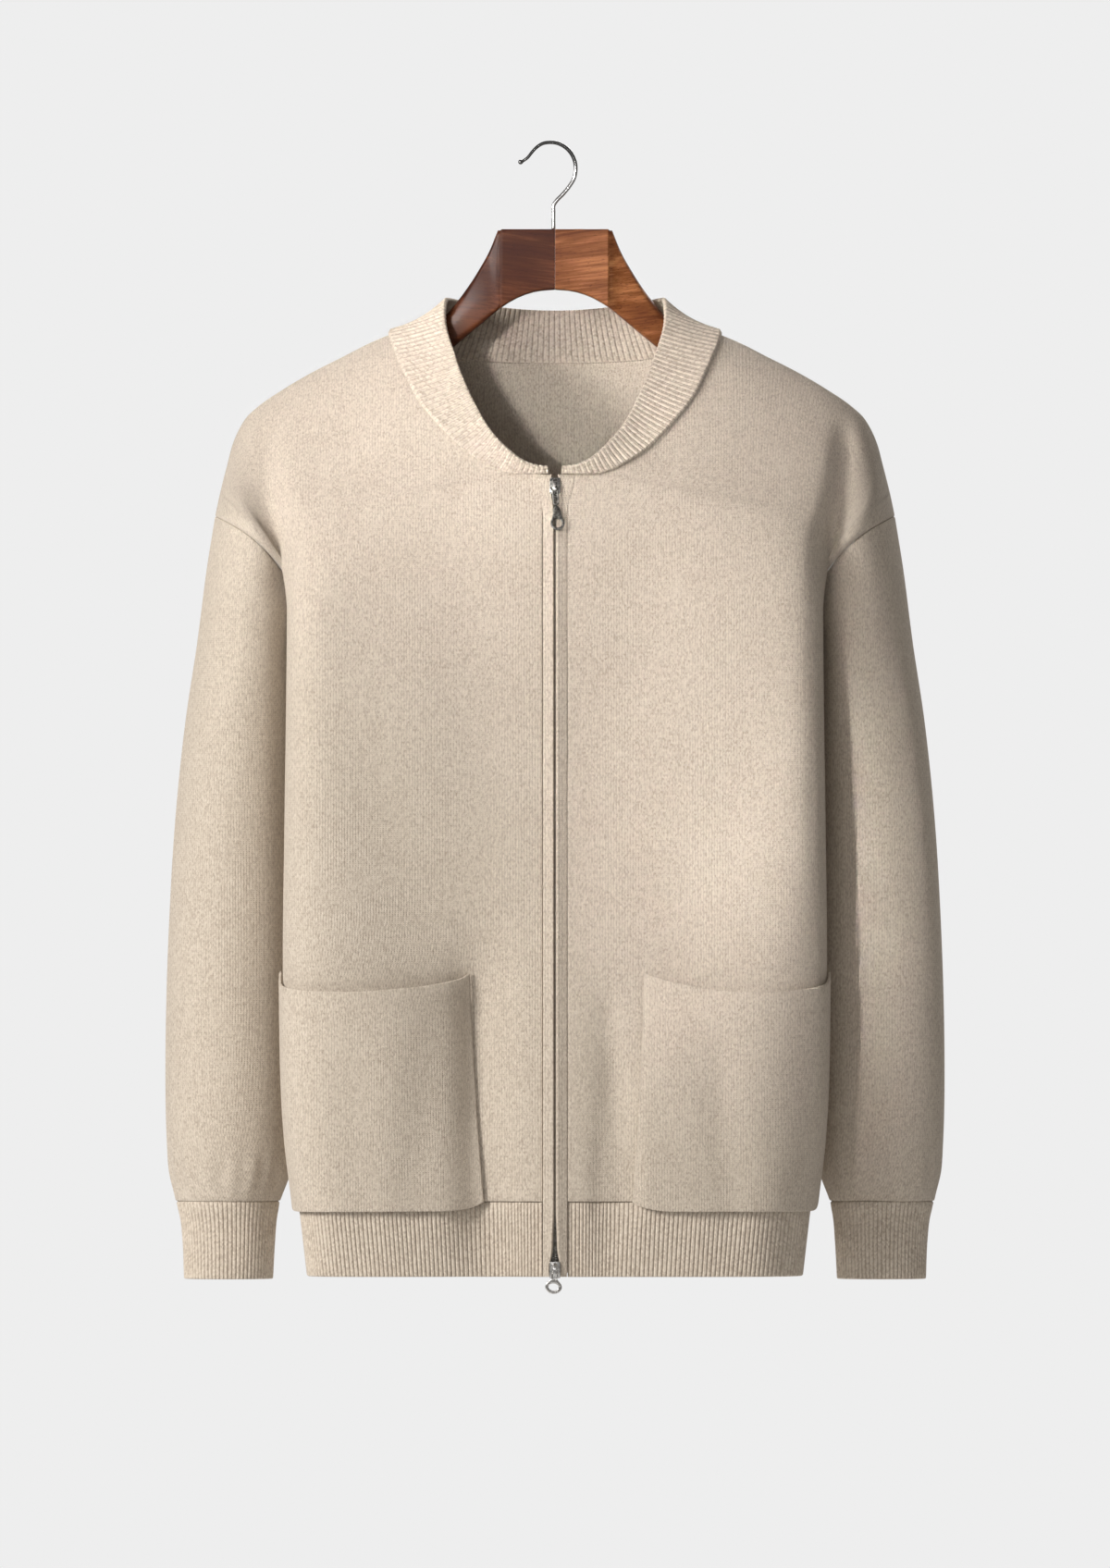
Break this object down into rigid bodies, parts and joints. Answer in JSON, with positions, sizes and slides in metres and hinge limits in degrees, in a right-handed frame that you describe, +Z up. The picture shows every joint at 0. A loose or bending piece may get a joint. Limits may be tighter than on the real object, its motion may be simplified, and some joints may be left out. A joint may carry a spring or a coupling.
{
  "type": "zip-up cardigan on a coat hanger",
  "caption": "Knitted cardigan with a two-way zip, ribbed neck, cuffs and hem and two patch pockets, hanging hollow on a wooden coat hanger.",
  "frame": {"origin": "inside top of the hanger's hook, where a rail carries it", "axes": "+X to the wearer's left, +Y to the back of the garment, +Z up; the zip faces -Y"},
  "size_m": [0.5734, 0.2168, 0.846],
  "materials": {
    "knit_plain": "soft heathered oatmeal wool jersey",
    "knit_rib": "heathered oatmeal wool rib",
    "zip_tape": "woven beige tape",
    "zip_metal": "dark gunmetal",
    "zip_nickel": "bright nickel",
    "hanger_wood": "glossy red-brown varnish",
    "hook_steel": "polished steel wire"
  },
  "bodies": {
    "garment_and_hanger": {"front_left": "knit_plain", "front_right": "knit_plain", "back": "knit_plain", "sleeve_left": "knit_plain", "sleeve_right": "knit_plain", "pocket_left": "knit_plain", "pocket_right": "knit_plain", "zip_band_left": "knit_plain", "zip_band_right": "knit_plain", "cuff_left": "knit_rib", "cuff_right": "knit_rib", "hem_front_left": "knit_rib", "hem_front_right": "knit_rib", "hem_back": "knit_rib", "neck_band": "knit_rib", "zip_side_left": "zip_tape", "zip_side_right": "zip_tape", "slider_upper": "zip_metal", "slider_lower": "zip_nickel", "hanger_left": "hanger_wood", "hanger_right": "hanger_wood", "hanger_hook": "hook_steel"},
    "upper_pull": {"pull_upper": "zip_metal"},
    "lower_pull": {"pull_lower": "zip_nickel"}
  },
  "joints": [
    {"name": "upper_pull_hinge", "type": "hinge", "parent": "garment_and_hanger", "child": "upper_pull", "pos_m": [0, -0.09281, -0.25334], "axis": [-1, 0, 0], "range_deg": [0, 170]},
    {"name": "lower_pull_hinge", "type": "hinge", "parent": "garment_and_hanger", "child": "lower_pull", "pos_m": [0, -0.09597, -0.82779], "axis": [-1, 0, 0], "range_deg": [0, 120]}
  ]
}
